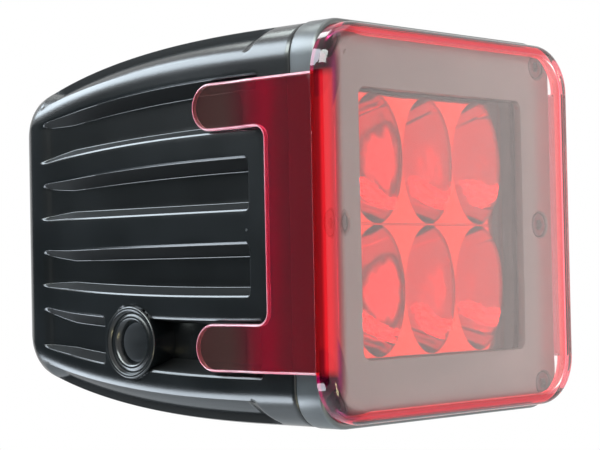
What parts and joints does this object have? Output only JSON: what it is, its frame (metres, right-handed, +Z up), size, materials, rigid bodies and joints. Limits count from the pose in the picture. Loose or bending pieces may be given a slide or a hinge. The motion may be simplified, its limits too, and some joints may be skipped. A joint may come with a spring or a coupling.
{
  "type": "square LED lamp with filter cover",
  "caption": "Square finned LED lamp with a glass lens, an oval-cup reflector and a clear red filter cover that snaps over the bezel with two sprung clip arms.",
  "frame": {"origin": "on the axis of the two threaded side bosses, midway between them", "axes": "+X to the right seen from the front and along the boss axis, the lamp faces -Y, +Z up"},
  "size_m": [0.0864, 0.1191, 0.086],
  "materials": {
    "housing_black": "die-cast, satin black powder coat",
    "bezel_black": "die-cast, satin black powder coat",
    "black_steel": "black oxide",
    "bright_steel": "zinc plated",
    "seal_rubber": "moulded silicone",
    "lens_glass": "clear toughened",
    "mirror_plating": "vacuum-plated moulding",
    "board_white": "white solder mask on aluminium core",
    "led_ceramic": "fired ceramic",
    "led_phosphor": "silicone dome over phosphor",
    "pad_grey": "soft thermal pad",
    "bare_aluminium": "milled",
    "board_green": "green solder mask",
    "standoff_brass": "turned",
    "ferrite_grey": "sintered ferrite",
    "sleeve_navy": "shrunk sleeve",
    "chip_black": "moulded epoxy",
    "wire_red": "insulated wire",
    "fitting_black": "moulded nylon",
    "clear_red": "clear red polycarbonate"
  },
  "bodies": {
    "lamp": {"housing": "housing_black", "bezel": "bezel_black", "bezel_screws": "black_steel", "bezel_seal": "seal_rubber", "lens": "lens_glass", "lens_gasket": "seal_rubber", "reflector": "mirror_plating", "led_board": "board_white", "led_packages": "led_ceramic", "led_domes": "led_phosphor", "led_board_screws": "bright_steel", "thermal_pad": "pad_grey", "heat_spreader": "bare_aluminium", "spreader_screws": "bright_steel", "driver_board": "board_green", "driver_standoffs": "standoff_brass", "driver_screws": "bright_steel", "driver_inductor": "ferrite_grey", "driver_capacitors": "sleeve_navy", "driver_chips": "chip_black", "link_wires": "wire_red", "gland_body": "fitting_black", "gland_seal": "seal_rubber", "gland_nut": "fitting_black", "vent_plug": "fitting_black", "vent_ring": "seal_rubber"},
    "cover": {"filter_cover": "clear_red"},
    "left_clip": {"left_clip_arm": "clear_red"},
    "right_clip": {"right_clip_arm": "clear_red"}
  },
  "joints": [
    {"name": "cover_pull", "type": "slide", "parent": "lamp", "child": "cover", "axis": [0, -1, 0], "range_m": [0, 0.045]},
    {"name": "left_clip_flex", "type": "hinge", "parent": "cover", "child": "left_clip", "pos_m": [-0.0432, -0.0605, 0.0252], "axis": [0, 0, 1], "range_deg": [0, 9.2]},
    {"name": "right_clip_flex", "type": "hinge", "parent": "cover", "child": "right_clip", "pos_m": [0.0432, -0.0605, 0.0252], "axis": [0, 0, -1], "range_deg": [0, 9.2]}
  ],
  "couplings": [
    {"joint": "left_clip_flex", "follows": "cover_pull", "rad_per_m": 3.49},
    {"joint": "right_clip_flex", "follows": "cover_pull", "rad_per_m": 3.49}
  ]
}
